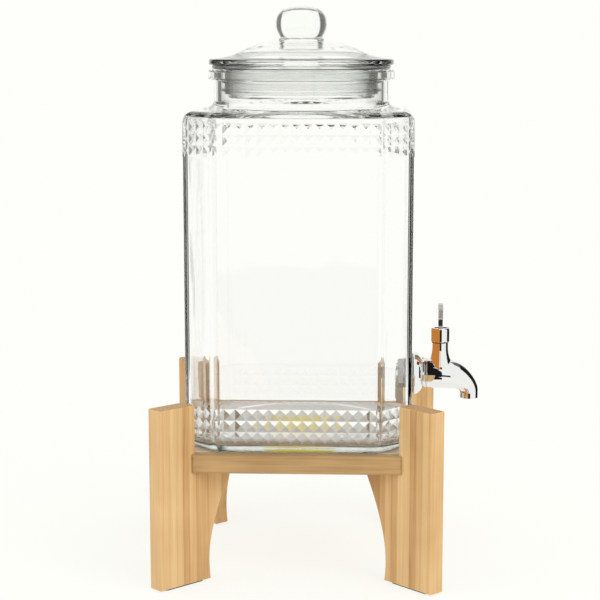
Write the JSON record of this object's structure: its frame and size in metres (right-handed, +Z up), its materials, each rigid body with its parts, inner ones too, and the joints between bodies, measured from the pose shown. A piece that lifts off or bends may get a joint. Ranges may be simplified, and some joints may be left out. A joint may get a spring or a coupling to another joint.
{
  "type": "beverage dispenser",
  "caption": "Square clear glass drink jar with pyramid-patterned bands, lift-off glass lid and chrome lever tap, on a bamboo stand with diagonal legs.",
  "frame": {"origin": "on the floor under the middle of the jar, at the centre of the four feet", "axes": "+Z up; +X the way the tap points out of the jar; -Y the front, so the tap is on the right seen from the front"},
  "size_m": [0.2084, 0.1824, 0.3624],
  "materials": {
    "bamboo": "satin",
    "pad": "matte",
    "clear_glass": "clear",
    "sticker": "matte",
    "chrome": "mirror polished",
    "steel": "brushed",
    "black_plastic": "matte",
    "clear_silicone": "translucent",
    "white_silicone": "matte",
    "black_rubber": "matte"
  },
  "bodies": {
    "stand": {"shelf_board": "bamboo", "leg_front_left": "bamboo", "leg_front_right": "bamboo", "leg_rear_left": "bamboo", "leg_rear_right": "bamboo", "foot_pad_front_left": "pad", "foot_pad_front_right": "pad", "foot_pad_rear_left": "pad", "foot_pad_rear_right": "pad"},
    "jar": {"glass_jar": "clear_glass", "base_sticker": "sticker", "spigot_body": "chrome", "wall_flange": "chrome", "outer_washer": "white_silicone", "inner_washer": "white_silicone", "metal_washer": "steel", "lock_nut": "steel", "bonnet": "chrome", "bonnet_seal": "black_rubber", "pivot_pin": "steel"},
    "lid": {"glass_lid": "clear_glass", "lid_seal": "clear_silicone"},
    "lever": {"lever_arm": "steel", "lever_sleeve": "black_plastic"},
    "plunger": {"plunger_stem": "steel", "lift_yoke": "steel", "seat_cup": "white_silicone", "valve_spring": "steel"}
  },
  "joints": [
    {"name": "jar_lift", "type": "slide", "parent": "stand", "child": "jar", "axis": [0, 0, 1], "range_m": [0, 0.045]},
    {"name": "lid_lift", "type": "slide", "parent": "jar", "child": "lid", "axis": [0, 0, 1], "range_m": [0, 0.03]},
    {"name": "lever_tilt", "type": "hinge", "parent": "jar", "child": "lever", "pos_m": [0.0918, 0, 0.1504], "axis": [0, 1, 0], "range_deg": [0, 50], "stiffness_Nm_per_rad": 0.03, "springref_deg": -34.38},
    {"name": "plunger_lift", "type": "slide", "parent": "jar", "child": "plunger", "axis": [0, 0, 1], "range_m": [0, 0.0026], "deforming": ["valve_spring"]}
  ],
  "couplings": [
    {"joint": "plunger_lift", "follows": "lever_tilt", "m_per_rad": 0.00283}
  ]
}
